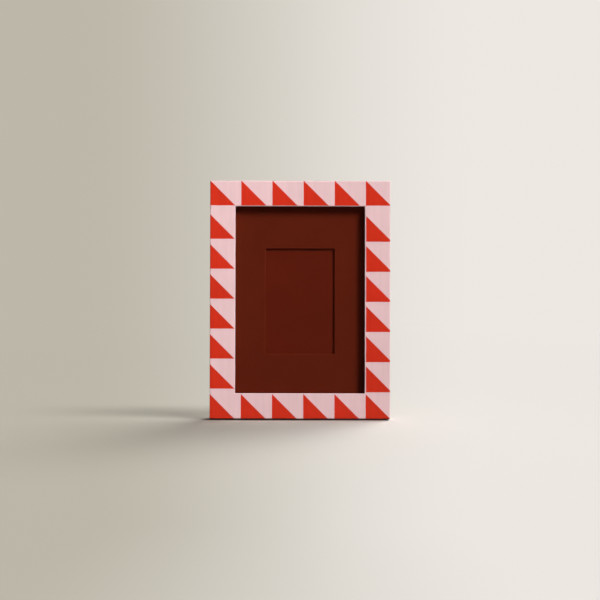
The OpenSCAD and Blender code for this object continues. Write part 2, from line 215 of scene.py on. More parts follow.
def put(tree, kind, inputs=None, **settings):
    """Adds a node. An input given as a socket is linked, and any other value is set on it."""
    node = tree.nodes.new(kind)
    for name, value in settings.items():
        setattr(node, name, value)
    for name, value in (inputs or {}).items():
        if isinstance(value, bpy.types.NodeSocket):
            tree.links.new(value, node.inputs[name])
        else:
            node.inputs[name].default_value = value
    return node


def made(tree, kind, inputs=None, **settings):
    """The first output of a new node."""
    return put(tree, kind, inputs, **settings).outputs[0]


def calc(tree, operation, *values):
    """The result of a Math node."""
    return made(tree, "ShaderNodeMath", dict(enumerate(values)), operation=operation)


def squares(tree, one, two):
    """The squares of two values, added up."""
    return calc(tree, "ADD", calc(tree, "POWER", one, 2.0), calc(tree, "POWER", two, 2.0))


def weighed(tree, first, share, second):
    """Two values added up, the first by its share and the second by the rest."""
    return calc(tree, "MULTIPLY_ADD", first, share, calc(tree, "MULTIPLY", second, 1 - share))


def axes_of(tree, place):
    """A place taken apart into its X, Y and Z."""
    return put(tree, "ShaderNodeSeparateXYZ", {"Vector": place}).outputs


def ranged(tree, value, low, high, to_low=0.0, to_high=1.0, smooth=False):
    """A value taken from one range to another, and held at its ends."""
    ends = {"Value": value, "From Min": low, "From Max": high, "To Min": to_low, "To Max": to_high}
    kind = "SMOOTHSTEP" if smooth else "LINEAR"
    return put(tree, "ShaderNodeMapRange", ends, interpolation_type=kind).outputs["Result"]


def mixed(tree, share, first, second):
    """Two colours mixed by a share. A Mix node's colours are its inputs 6 and 7 and its output 2."""
    return put(tree, "ShaderNodeMix", {0: share, 6: first, 7: second}, data_type="RGBA").outputs[2]


def varied(tree, value, low, high, colour, dark, pale):
    """A colour that goes from a darker to a paler shade as a value goes from low to high."""
    return mixed(tree, ranged(tree, value, low, high), shade(colour, dark), shade(colour, pale))


def noise(tree, place, scale, detail=2.0, roughness=0.5, warp=0.0):
    """Cloudy noise from 0 to 1."""
    return made(tree, "ShaderNodeTexNoise", {
        "Vector": place, "Scale": scale, "Detail": detail, "Roughness": roughness,
        "Distortion": warp})


def stretched(tree, place, x, y, z):
    """A place with each axis scaled by itself, for grain and brushing."""
    return made(tree, "ShaderNodeMapping", {"Vector": place, "Scale": (x, y, z)})


def raised(tree, height, depth, strength):
    """A normal that follows a height from 0 to 1, as deep as depth in metres."""
    settings = {"Height": height, "Distance": depth, "Strength": strength}
    return made(tree, "ShaderNodeBump", settings)


def past_edge(tree, place, half_width, middle, half_height):
    """How far a place lies past the edge of an upright rectangle, in metres, less than nought inside it."""
    axes = axes_of(tree, place)
    side = calc(tree, "SUBTRACT", calc(tree, "ABSOLUTE", axes["X"]), half_width)
    rise = calc(tree, "ABSOLUTE", calc(tree, "SUBTRACT", axes["Z"], middle))
    return calc(tree, "MAXIMUM", side, calc(tree, "SUBTRACT", rise, half_height))


def new_finish(name, placing=LEANED):
    """An empty material, its tree, and Object coordinates along the axes of a placing matrix, in metres."""
    material = bpy.data.materials.new(name)
    material.use_nodes = True
    tree = material.node_tree
    tree.nodes.clear()
    inward = placing.inverted()
    spot = put(tree, "ShaderNodeTexCoord").outputs["Object"]
    settings = {"Vector": spot, "Rotation": inward.to_euler(), "Location": inward.to_translation()}
    return material, tree, made(tree, "ShaderNodeMapping", settings)


def finish(material, tone, normal, settings):
    """Ends a material in a Principled shader."""
    inputs = {"Base Color": tone, "Normal": normal, **settings}
    shader = made(material.node_tree, "ShaderNodeBsdfPrincipled", inputs)
    put(material.node_tree, "ShaderNodeOutputMaterial", {"Surface": shader})
    return material


# Finishes

def lacquered_part(tree, place):
    """How far a place lies within the pink lacquer, over nought near the outer edges and in the opening."""
    middle, inset = OUTER_H / 2, PAINT_MARGIN / 4
    outside = past_edge(tree, place, OUTER_W / 2 - PAINT_MARGIN, middle, OUTER_H / 2 - PAINT_MARGIN)
    opening = past_edge(tree, place, SIGHT_W / 2 + inset, middle, SIGHT_H / 2 + inset)
    return calc(tree, "MAXIMUM", outside, calc(tree, "MULTIPLY", opening, -1.0))


def off_mitre(tree, place):
    """How far a place lies from the nearest mitre's diagonal, measured across, in metres."""
    axes = axes_of(tree, place)
    side = calc(tree, "SUBTRACT", calc(tree, "ABSOLUTE", axes["X"]), OUTER_W / 2)
    rise = calc(tree, "ABSOLUTE", calc(tree, "SUBTRACT", axes["Z"], OUTER_H / 2))
    return calc(tree, "ABSOLUTE", calc(tree, "SUBTRACT", side, calc(tree, "SUBTRACT", rise, OUTER_H / 2)))


def off_midline(tree, place, low, high):
    """How far a place lies from the middle line of an upright strip with half-round ends, in metres."""
    axes = axes_of(tree, place)
    radius = (high.x - low.x) / 2
    above = calc(tree, "SUBTRACT", axes["Z"], high.z - radius)
    below = calc(tree, "SUBTRACT", low.z + radius, axes["Z"])
    beyond = calc(tree, "MAXIMUM", calc(tree, "MAXIMUM", above, below), 0.0)
    return calc(tree, "SQRT", squares(tree, axes["X"], beyond))


def lacquered_veneer(name, colour, streak, cloudiness):
    """Dyed veneer with fine upright grain under satin lacquer."""
    material, tree, place = new_finish(name)
    fine = noise(tree, stretched(tree, place, 2600, 900, 55), 1.0, detail=2, roughness=0.6)
    broad = noise(tree, stretched(tree, place, 330, 120, 14), 1.0, detail=2)
    cloud = noise(tree, place, cloudiness, detail=1)
    grain = weighed(tree, fine, 0.45, broad)
    tone = varied(tree, weighed(tree, cloud, 0.35, grain), 0.36, 0.64, colour, 1 - streak, 1 + streak)
    ripple = noise(tree, place, 260, detail=1)
    return finish(material, tone, raised(tree, grain, 0.02 * MM, 0.35), {
        "Coat Normal": raised(tree, ripple, 0.02 * MM, 0.25), "Roughness": 0.35,
        "Specular IOR Level": 0.03, "Coat Weight": 0.25, "Coat Roughness": 0.14, "Coat IOR": 1.45})


def rail_finish(name, colours, upright):
    """Pink lacquer on the outside of a rail, bare wood behind, with the grain along the piece."""
    material, tree, place = new_finish(name)
    wander = noise(tree, place, 700, detail=2)
    within = calc(tree, "MULTIPLY_ADD", wander, 0.25 * MM, lacquered_part(tree, place))
    painted = ranged(tree, within, 0.1 * MM, 0.16 * MM)

    def lengthwise(across, along):
        """The place scaled across the grain and along it."""
        scales = (across, across, along) if upright else (along, across, across)
        return stretched(tree, place, *scales)

    grain = noise(tree, lengthwise(420, 30), 1.0, detail=4, roughness=0.6, warp=0.4)
    pores = noise(tree, lengthwise(2400, 160), 1.0)
    wood = colours.raw_wood
    bare = varied(tree, grain, 0.34, 0.68, wood, 0.78, 1.1)
    bare = mixed(tree, ranged(tree, pores, 0.60, 0.72, 0, 0.55), bare, shade(wood, 0.42))
    joint_line = ranged(tree, off_mitre(tree, place), 0.05 * MM, 0.11 * MM, 0.8, 0.0)
    bare = mixed(tree, joint_line, bare, shade(wood, 0.16))
    paint = varied(tree, noise(tree, place, 60, detail=2), 0.3, 0.7, colours.pink, 0.86, 0.92)
    return finish(material, mixed(tree, painted, bare, paint), raised(tree, grain, 0.05 * MM, 0.5), {
        "Roughness": ranged(tree, painted, 0, 1, 0.72, 0.62), "Specular IOR Level": 0.03})


def pane_finish(name):
    """Clear picture glass that hardly reflects, a little green at its cut edges."""
    material, tree, place = new_finish(name)
    middle, half = (PANE_HIGH.z + PANE_LOW.z) / 2, (PANE_HIGH.z - PANE_LOW.z) / 2
    past = past_edge(tree, place, PANE_HIGH.x - EDGE_SKIN, middle, half - EDGE_SKIN)
    edge = ranged(tree, past, 0, 0.02 * MM)
    clear = made(tree, "ShaderNodeBsdfTransparent", {"Color": (0.985, 0.99, 0.988, 1)})
    shine = made(tree, "ShaderNodeBsdfGlossy", {"Color": (1, 1, 1, 1), "Roughness": 0.02})
    green = made(tree, "ShaderNodeBsdfPrincipled", {
        "Base Color": (0.10, 0.27, 0.20, 1), "Roughness": 0.4, "Specular IOR Level": 0.3, "Alpha": 0.75})
    facing = made(tree, "ShaderNodeFresnel", {"IOR": 1.12})
    sheet = made(tree, "ShaderNodeMixShader", {0: facing, 1: clear, 2: shine})
    whole = made(tree, "ShaderNodeMixShader", {0: edge, 1: sheet, 2: green})
    put(tree, "ShaderNodeOutputMaterial", {"Surface": whole})
    return material


def window_rim(tree, place):
    """How far a place lies outside the mat's window, in metres, less than nought inside it."""
    points = points_in(LEANED, "mat_board")
    side = min(abs(p.x) for p in points)
    levels = [p.z for p in points if abs(abs(p.x) - side) < MERGE]
    low, high = min(levels), max(levels)
    return past_edge(tree, place, side, (high + low) / 2, (high - low) / 2)


def paper_finish(name, colour, blotch, core_and_highlight_rim=None):
    """Matt paper-faced board: short fibres, faint wide blotches, and a paler rim at a cut window, partly
    the board's core and partly a painted highlight on its bevel.
    """
    material, tree, place = new_finish(name)
    fibres = noise(tree, stretched(tree, place, 1500, 1500, 900), 1.0, detail=3, roughness=0.65, warp=0.6)
    wide = noise(tree, place, 48, detail=2, roughness=0.55)
    slow = noise(tree, place, 17, detail=1)
    tone = varied(tree, weighed(tree, wide, 0.5, slow), 0.34, 0.66, colour, 1 - blotch, 1 + blotch)
    tone = mixed(tree, ranged(tree, fibres, 0.55, 0.75, 0, 0.25), tone, shade(colour, 1.5))
    # a paler rim round the window: partly the board's paler core, partly a painted highlight where the
    # bevel catches the light
    if core_and_highlight_rim:
        core = ranged(tree, window_rim(tree, place), core_and_highlight_rim - EDGE_SKIN, core_and_highlight_rim, 1.0, 0.0)
        tone = mixed(tree, core, tone, shade(colour, 1.15))
    return finish(material, tone, raised(tree, fibres, 0.03 * MM, 0.45), {
        "Roughness": 0.9, "Specular IOR Level": 0.02})


def fibreboard_finish(name, colour):
    """Pressed brown fibreboard with short pale and dark fibres."""
    material, tree, place = new_finish(name)
    fibres = noise(tree, stretched(tree, place, 700, 2200, 700), 1.0, detail=4, roughness=0.7, warp=1.2)
    specks = noise(tree, place, 2600, detail=1)
    tone = varied(tree, fibres, 0.36, 0.66, colour, 0.72, 1.22)
    tone = mixed(tree, ranged(tree, specks, 0.66, 0.74, 0, 0.6), tone, shade(colour, 0.35))
    return finish(material, tone, raised(tree, fibres, 0.08 * MM, 0.6), {
        "Roughness": 0.85, "Specular IOR Level": 0.25})


def suede_finish(name, colour, placing):
    """Short flock whose nap lies in patches, with a soft sheen."""
    material, tree, place = new_finish(name, placing)
    nap = noise(tree, stretched(tree, place, 95, 95, 55), 1.0, detail=3, roughness=0.6, warp=0.8)
    tufts = noise(tree, place, 1900, detail=2, roughness=0.7)
    tone = varied(tree, weighed(tree, nap, 0.6, tufts), 0.36, 0.66, colour, 0.68, 1.4)
    return finish(material, tone, raised(tree, tufts, 0.12 * MM, 0.8), {
        "Roughness": 0.95, "Specular IOR Level": 0.1, "Sheen Weight": 0.35, "Sheen Roughness": 0.45,
        "Sheen Tint": (0.85, 0.62, 0.52, 1)})


def brushed_metal(name, colour, roughness, tarnish, placing=LEANED):
    """Sheet metal with fine brushing across the hinge and a little tarnish."""
    material, tree, place = new_finish(name, placing)
    brushing = noise(tree, stretched(tree, place, 180, 5200, 5200), 1.0, detail=3, roughness=0.65)
    stain = noise(tree, place, 240, detail=3, roughness=0.6)
    tone = mixed(tree, ranged(tree, stain, 0.45, 0.75, 0, tarnish), shade(colour), shade(colour, 0.55))
    tone = mixed(tree, ranged(tree, brushing, 0.3, 0.7, 0, 0.22), tone, shade(colour, 0.7))
    stained = calc(tree, "MULTIPLY_ADD", stain, 0.1, roughness - 0.14)
    return finish(material, tone, raised(tree, brushing, 0.012 * MM, 0.5), {
        "Metallic": 1.0, "Roughness": calc(tree, "MULTIPLY_ADD", brushing, 0.18, stained)})


def leather_finish(name, colour, tab_low, tab_high):
    """Tanned leather with a pebbled grain and darker burnished edges."""
    material, tree, place = new_finish(name)
    cells = put(tree, "ShaderNodeTexVoronoi", {"Vector": place, "Scale": 1500, "Randomness": 1.0},
                feature="DISTANCE_TO_EDGE").outputs["Distance"]
    pebbles = ranged(tree, cells, 0.0, 0.35, smooth=True)
    cloud = noise(tree, place, 160, detail=3, roughness=0.6)
    half = (tab_high.x - tab_low.x) / 2
    away = off_midline(tree, place, tab_low, tab_high)
    burnish = ranged(tree, away, half - 0.9 * MM, half - 0.15 * MM, smooth=True)
    tone = varied(tree, cloud, 0.32, 0.68, colour, 0.82, 1.16)
    # the hollows between the pebbles are darker
    tone = mixed(tree, ranged(tree, pebbles, 0.0, 1.0, 0.3, 0.0), tone, shade(colour, 0.5))
    tone = mixed(tree, calc(tree, "MULTIPLY", burnish, 0.75), tone, shade(colour, 0.35))
    return finish(material, tone, raised(tree, pebbles, 0.04 * MM, 0.55), {
        "Specular IOR Level": 0.4, "Roughness": ranged(tree, burnish, 0, 1, 0.55, 0.32)})


def thread_finish(name, colour):
    """Waxed linen thread, twisted."""
    material, tree, place = new_finish(name)
    twist = noise(tree, place, 4200)
    tone = mixed(tree, twist, shade(colour, 0.7), shade(colour, 1.15))
    return finish(material, tone, raised(tree, twist, 0.03 * MM, 0.6), {"Roughness": 0.6})


# Meshes

def merged_copy(node):
    """A CAD node's solids with their loose triangles joined up, as one bmesh."""
    shape = bmesh.new()
    source = frame["nodes"][node].data
    corners = [shape.verts.new(v.co) for v in source.vertices]
    for face in source.polygons:
        shape.faces.new([corners[i] for i in face.vertices])
    bmesh.ops.remove_doubles(shape, verts=shape.verts[:], dist=MERGE)
    bmesh.ops.dissolve_degenerate(shape, dist=MERGE, edges=shape.edges[:])
    bmesh.ops.dissolve_limit(shape, angle_limit=FLAT, verts=shape.verts[:], edges=shape.edges[:])
    return shape


def ease(shape, width, steps=1, sharp=SHARP):
    """Rounds the sharp edges of a closed shape."""
    edges = [e for e in shape.edges if e.is_manifold and e.calc_face_angle() > sharp]
    bmesh.ops.bevel(shape, geom=edges, offset=width, segments=steps, profile=0.5, affect="EDGES",
                    clamp_overlap=True)


def as_mesh(shape, name):
    """Ends a bmesh as a smooth-shaded mesh with its sharp edges kept."""
    bmesh.ops.recalc_face_normals(shape, faces=shape.faces[:])
    mesh = bpy.data.meshes.new(name)
    shape.to_mesh(mesh)
    shape.free()
    mesh.shade_smooth()
    mesh.set_sharp_from_angle(angle=SMOOTH)
    return mesh


def add_piece(name, mesh, material, body, slot, *nodes):
    """Puts a finished mesh in the scene, riding on a body and standing for CAD nodes."""
    piece = bpy.data.objects.new(name, mesh)
    bpy.context.scene.collection.objects.link(piece)
    mesh.materials.clear()
    mesh.materials.append(material)
    flats = piece.modifiers.new("Flats", "WEIGHTED_NORMAL")
    flats.keep_sharp = True
    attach(piece, body)
    if nodes:
        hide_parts(*nodes)


def paint(node, material):
    """Gives a CAD node its finish."""
    piece = frame["nodes"][node]
    if not piece.material_slots:
        piece.data.materials.append(material)
    for slot in piece.material_slots:
        slot.material = material


def slab(shape, placing, outline, y_from, y_to):
    """Adds a prism with an outline of x and z points, from one depth to another."""
    front = [shape.verts.new(placing @ Vector((x, y_from, z))) for x, z in outline]
    back = [shape.verts.new(placing @ Vector((x, y_to, z))) for x, z in outline]
    shape.faces.new(front)
    shape.faces.new(back[::-1])
    count = len(outline)
    for i in range(count):
        j = (i + 1) % count
        shape.faces.new([front[j], front[i], back[i], back[j]])


def cut(shape, place, away):
    """Cuts off what lies beyond a plane, on the side that its normal points to, and closes the cut."""
    whole = [*shape.verts, *shape.edges, *shape.faces]
    halved = bmesh.ops.bisect_plane(shape, geom=whole, plane_co=place, plane_no=away, clear_outer=True)
    rim = [part for part in halved["geom_cut"] if isinstance(part, bmesh.types.BMEdge)]
    bmesh.ops.edgeloop_fill(shape, edges=rim)


def stadium(low, high, inset=0.0, steps=16):
    """Points round a strip with half-round ends, inside the box from low to high."""
    radius = (high.x - low.x) / 2 - inset
    middle = (high.x + low.x) / 2
    ends = ((high.z - inset - radius, 0), (low.z + inset + radius, math.pi))
    return [(middle + radius * math.cos(start + math.pi * i / steps),
             z + radius * math.sin(start + math.pi * i / steps))
            for z, start in ends for i in range(steps + 1)]


def turned(profile, placing, steps):
    """A shape turned about x, from a list of (x, radius) points that starts and ends on the axis."""
    shape = bmesh.new()
    rings = []
    for x, radius in profile:
        count = steps if radius > 0 else 1
        angles = [2 * math.pi * i / count for i in range(count)]
        rings.append([shape.verts.new(placing @ Vector((x, radius * math.cos(a), radius * math.sin(a))))
                      for a in angles])
    for one, two in zip(rings, rings[1:]):
        for i in range(steps):
            j = i + 1
            corners = one[i % len(one)], one[j % len(one)], two[j % len(two)], two[i % len(two)]
            shape.faces.new(list(dict.fromkeys(corners)))
    return shape


def islands(node, placing):
    """Lowest and highest corners of each separate solid of a CAD node, along the axes of a placing."""
    shape = merged_copy(node)
    inward = placing.inverted()
    left, boxes = set(shape.verts), []
    while left:
        group, todo = set(), [left.pop()]
        while todo:
            vertex = todo.pop()
            group.add(vertex)
            for edge in vertex.link_edges:
                other = edge.other_vert(vertex)
                if other in left:
                    left.discard(other)
                    todo.append(other)
        boxes.append(box_of([inward @ v.co for v in group]))
    shape.free()
    return sorted(boxes, key=lambda box: (round(box[0].z, 5), round(box[0].x, 5)))


# Geometry Nodes

def new_tree(name, inputs):
    """A Geometry Nodes tree with named inputs, its input node and a geometry output."""
    tree = bpy.data.node_groups.new(name, "GeometryNodeTree")
    tree.interface.new_socket(name="Geometry", in_out="INPUT", socket_type="NodeSocketGeometry")
    for label, kind in inputs.items():
        tree.interface.new_socket(name=label, in_out="INPUT", socket_type="NodeSocket" + kind)
    tree.interface.new_socket(name="Geometry", in_out="OUTPUT", socket_type="NodeSocketGeometry")
    return tree, tree.nodes.new("NodeGroupInput").outputs


def end_tree(tree, instances, material):
    """Ends a tree with real geometry, smooth, in one material."""
    real = made(tree, "GeometryNodeRealizeInstances", {"Geometry": instances})
    smooth = made(tree, "GeometryNodeSetShadeSmooth", {"Geometry": real})
    done = made(tree, "GeometryNodeSetMaterial", {"Geometry": smooth, "Material": material})
    tree.links.new(done, tree.nodes.new("NodeGroupOutput").inputs["Geometry"])


def grown(tree, points, edges, settings):
    """The plain mesh that a tree makes from points and edges."""
    mesh = bpy.data.meshes.new(tree.name + "_path")
    mesh.from_pydata(points, edges, [])
    carrier = bpy.data.objects.new(tree.name + "_carrier", mesh)
    bpy.context.scene.collection.objects.link(carrier)
    modifier = carrier.modifiers.new("Grow", "NODES")
    modifier.node_group = tree
    for item in tree.interface.items_tree:
        if item.in_out == "INPUT" and item.name in settings:
            modifier[item.identifier] = settings[item.name]
    graph = bpy.context.evaluated_depsgraph_get()
    result = bpy.data.meshes.new_from_object(carrier.evaluated_get(graph), depsgraph=graph)
    carrier.modifiers.clear()
    bpy.data.objects.remove(carrier)
    bpy.data.meshes.remove(mesh)
    result.set_sharp_from_angle(angle=SMOOTH)
    return result


def rivet_tree():
    """A domed head, a shank and a flat sunk tail at every point, all turned the same way."""
    tree, given = new_tree("Rivets", {
        "Head Diameter": "Float", "Head Height": "Float", "Shank Diameter": "Float", "Grip": "Float",
        "Tail Diameter": "Float", "Tail Height": "Float", "Sides": "Int", "Turn": "Rotation",
        "Material": "Material"})
    half_head = calc(tree, "MULTIPLY", given["Head Diameter"], 0.5)
    head = put(tree, "GeometryNodeMeshCone", {
        "Vertices": given["Sides"], "Side Segments": 7, "Radius Top": 0.0, "Radius Bottom": half_head,
        "Depth": given["Head Height"]}).outputs["Mesh"]
    axes = axes_of(tree, made(tree, "GeometryNodeInputPosition"))
    flat = made(tree, "ShaderNodeCombineXYZ", {"X": axes["X"], "Y": axes["Y"]})
    away = put(tree, "ShaderNodeVectorMath", {0: flat}, operation="LENGTH").outputs["Value"]
    rise = given["Head Height"]
    ball = calc(tree, "DIVIDE", squares(tree, half_head, rise), calc(tree, "MULTIPLY", rise, 2.0))
    level = calc(tree, "SUBTRACT", calc(tree, "POWER", ball, 2.0), calc(tree, "POWER", away, 2.0))
    top = calc(tree, "ADD", calc(tree, "SUBTRACT", calc(tree, "SQRT", level), ball), rise)
    domed = made(tree, "ShaderNodeCombineXYZ", {"X": axes["X"], "Y": axes["Y"], "Z": top})
    head = made(tree, "GeometryNodeSetPosition", {"Geometry": head, "Position": domed})
    whole = tree.nodes.new("GeometryNodeJoinGeometry")
    tree.links.new(head, whole.inputs[0])
    shank = calc(tree, "SUBTRACT", given["Grip"], given["Tail Height"])
    shank_middle = calc(tree, "MULTIPLY", shank, 0.5)
    tail_middle = calc(tree, "SUBTRACT", given["Grip"], calc(tree, "MULTIPLY", given["Tail Height"], 0.5))
    for across, tall, sunk in (
            (given["Shank Diameter"], shank, shank_middle),
            (given["Tail Diameter"], given["Tail Height"], tail_middle)):
        bar = put(tree, "GeometryNodeMeshCylinder", {
            "Vertices": given["Sides"], "Radius": calc(tree, "MULTIPLY", across, 0.5),
            "Depth": tall}).outputs["Mesh"]
        shift = made(tree, "ShaderNodeCombineXYZ", {"Z": calc(tree, "MULTIPLY", sunk, -1.0)})
        bar = made(tree, "GeometryNodeTransform", {"Geometry": bar, "Translation": shift})
        tree.links.new(bar, whole.inputs[0])
    placed = made(tree, "GeometryNodeInstanceOnPoints", {
        "Points": given["Geometry"], "Instance": whole.outputs[0], "Rotation": given["Turn"]})
    end_tree(tree, placed, given["Material"])
    return tree


def stitch_tree():
    """Stitches laid end to end along a path."""
    tree, given = new_tree("Stitches", {
        "Pitch": "Float", "Stitch Length": "Float", "Thread Diameter": "Float", "Material": "Material"})
    path = made(tree, "GeometryNodeMeshToCurve", {"Mesh": given["Geometry"]})
    path = made(tree, "GeometryNodeResampleCurve", {"Curve": path, "Length": given["Pitch"]},
                mode="LENGTH")
    run = made(tree, "GeometryNodeInputTangent")
    turn = made(tree, "FunctionNodeAlignRotationToVector", {"Vector": run}, axis="Z")
    bead = put(tree, "GeometryNodeMeshUVSphere", {
        "Segments": 10, "Rings": 8, "Radius": 0.5}).outputs["Mesh"]
    thick = given["Thread Diameter"]
    size = made(tree, "ShaderNodeCombineXYZ", {"X": thick, "Y": thick, "Z": given["Stitch Length"]})
    placed = made(tree, "GeometryNodeInstanceOnPoints", {
        "Points": path, "Instance": bead, "Rotation": turn, "Scale": size})
    end_tree(tree, placed, given["Material"])
    return tree


# Operators

def looks(context):
    """The user's settings for colours and sizes."""
    return context.scene.picture_frame_colours, context.scene.picture_frame_sizes


class FrameStep:
    """What every step shares."""

    bl_options = {"REGISTER", "UNDO"}


class PICTUREFRAME_OT_moulding(FrameStep, bpy.types.Operator):
    """Finish the four mitred pieces, their corner nails and the magnets"""

    bl_idname = "picture_frame.moulding"
    bl_label = "Moulding"

    def execute(self, context):
        colours = looks(context)[0]
        for names, upright in ((RAILS, False), (STILES, True)):
            wood = rail_finish("stile_wood" if upright else "rail_wood", colours, upright)
            for name in names:
                paint(name, wood)
        steel = brushed_metal("nail_steel", colours.steel, 0.4, 0.35)
        plated = brushed_metal("magnet_plating", colours.steel, 0.25, 0.1)
        paint("corner_v_nails", steel)
        paint("frame_magnets", plated)
        return {"FINISHED"}


class PICTUREFRAME_OT_border(FrameStep, bpy.types.Operator):
    """Make the pink veneer and the red triangles let into it"""

    bl_idname = "picture_frame.border"
    bl_label = "Triangle Border"

    def execute(self, context):
        colours, sizes = looks(context)
        for name, node, slot, colour, streak, cloudiness in (
                ("pink_ground", "pink_veneer", "pink_veneer", colours.pink, 0.05, 38),
                ("red_inlay", "red_triangles", "red_veneer", colours.red, 0.07, 47)):
            shape = merged_copy(node)
            ease(shape, sizes.seam, sharp=STEEP)
            material = lacquered_veneer(slot + "_lacquer", colour, streak, cloudiness)
            add_piece(name, as_mesh(shape, name), material, "moulding", slot, node)
        return {"FINISHED"}


class PICTUREFRAME_OT_picture(FrameStep, bpy.types.Operator):
    """Finish the glass, the mat with its window, and the card"""

    bl_idname = "picture_frame.picture"
    bl_label = "Glass and Mat"

    def execute(self, context):
        colours, sizes = looks(context)
        paint("glass_pane", pane_finish("picture_glass"))
        paint("backing_card", paper_finish("card_paper", colours.card, 0.06))
        shape = merged_copy("mat_board")
        ease(shape, sizes.board_ease, steps=2)
        # the rim width sets the paler window rim: board core and painted highlight
        mat = paper_finish("mat_paper", colours.mat, 0.06, sizes.core_and_highlight_rim)
        add_piece("window_mat", as_mesh(shape, "window_mat"), mat, "mat", "mat_board", "mat_board")
        return {"FINISHED"}


class PICTUREFRAME_OT_back(FrameStep, bpy.types.Operator):
    """Finish the back panel, its suede covering and its steel discs"""

    bl_idname = "picture_frame.back"
    bl_label = "Back Panel"

    def execute(self, context):
        colours, sizes = looks(context)
        paint("back_panel", fibreboard_finish("panel_fibreboard", colours.fibre))
        paint("keeper_discs", brushed_metal("disc_steel", colours.steel, 0.35, 0.2))
        shape = merged_copy("back_cover")
        ease(shape, sizes.cover_ease, steps=2)
        suede = suede_finish("back_suede", colours.suede, LEANED)
        add_piece("suede_back", as_mesh(shape, "suede_back"), suede, "back", "suede_cloth", "back_cover")
        return {"FINISHED"}


class PICTUREFRAME_OT_hinge(FrameStep, bpy.types.Operator):
    """Make the brass bracket, the strap and the peened pin"""

    bl_idname = "picture_frame.hinge"
    bl_label = "Strut Hinge"

    def execute(self, context):
        colours, sizes = looks(context)
        for name, node, body, placing in (
                ("brass_bracket", "hinge_bracket", "back", LEANED),
                ("brass_strap", "strut_strap", "strut", ON_STRUT)):
            shape = merged_copy(node)
            ease(shape, sizes.metal_ease, steps=2)
            brass = brushed_metal(node + "_brass", colours.brass, 0.3, 0.35, placing)
            add_piece(name, as_mesh(shape, name), brass, body, "brass", node)
        self.pin(Matrix.Translation(joint("strut_fold")["pos_m"]), colours, sizes)
        return {"FINISHED"}

    def pin(self, placing, colours, sizes):
        """The pin between its two domed heads."""
        points = points_in(placing, "hinge_pin")
        radii = [math.hypot(p.y, p.z) for p in points]
        shank_r, head_r = min(radii), max(radii)
        seat, end = min(abs(p.x) for p in points), max(p.x for p in points)
        right = [(seat + (end - seat) * math.cos(a), head_r * math.sin(a)) for a in QUARTER]
        right.append((seat, shank_r))
        shape = turned(right + [(-x, r) for x, r in reversed(right)], placing, sizes.round_steps)
        steel = brushed_metal("pin_steel", colours.steel, 0.28, 0.15)
        add_piece("peened_pin", as_mesh(shape, "peened_pin"), steel, "back", "steel", "hinge_pin")


class PICTUREFRAME_OT_rivets(FrameStep, bpy.types.Operator):
    """Set the brass rivets of the bracket, the strap and the pull tab"""

    bl_idname = "picture_frame.rivets"
    bl_label = "Rivets"

    def execute(self, context):
        colours, sizes = looks(context)
        tree = rivet_tree()
        brass = brushed_metal("rivet_brass", colours.brass, 0.24, 0.25)
        upright = Matrix.Rotation(-math.pi / 2, 4, "X")
        for name, node, body, placing in (
                ("bracket_rivet_set", "bracket_rivets", "back", LEANED),
                ("strap_rivet_set", "strap_rivets", "strut", ON_STRUT),
                ("tab_rivet_set", "tab_rivet", "back", LEANED)):
            boxes = islands(node, placing)
            seats = [placing @ Vector((
                (low.x + high.x) / 2, high.y - sizes.rivet_rise, (low.z + high.z) / 2))
                for low, high in boxes]
            low, high = boxes[0]
            mesh = grown(tree, seats, [], {
                "Head Diameter": high.x - low.x, "Head Height": sizes.rivet_rise,
                "Shank Diameter": sizes.rivet_shank, "Grip": high.y - low.y - sizes.rivet_rise,
                "Tail Diameter": sizes.rivet_tail, "Tail Height": sizes.tail_rise,
                "Sides": sizes.round_steps, "Turn": (placing @ upright).to_euler(), "Material": brass})
            add_piece(name, mesh, brass, body, "brass", node)
        return {"FINISHED"}


class PICTUREFRAME_OT_pull_tab(FrameStep, bpy.types.Operator):
    """Cut the leather pull tab and stitch its edge"""

    bl_idname = "picture_frame.pull_tab"
    bl_label = "Pull Tab"

    def execute(self, context):
        colours, sizes = looks(context)
        low, high = span(LEANED, "pull_tab")
        shape = bmesh.new()
        slab(shape, LEANED, stadium(low, high), low.y, high.y)
        bmesh.ops.remove_doubles(shape, verts=shape.verts[:], dist=MERGE)
        ease(shape, sizes.tab_ease, steps=3, sharp=STEEP)
        hide = leather_finish("tab_leather", colours.leather, low, high)
        add_piece("leather_tab", as_mesh(shape, "leather_tab"), hide, "back", "leather", "pull_tab")
        path = [LEANED @ Vector((x, high.y, z)) for x, z in stadium(low, high, sizes.stitch_inset)]
        rounds = [(i, (i + 1) % len(path)) for i in range(len(path))]
        linen = thread_finish("tab_thread", colours.thread)
        mesh = grown(stitch_tree(), path, rounds, {
            "Pitch": sizes.stitch_pitch, "Stitch Length": sizes.stitch, "Thread Diameter": sizes.thread,
            "Material": linen})
        add_piece("tab_stitches", mesh, linen, "back", "leather")
        return {"FINISHED"}


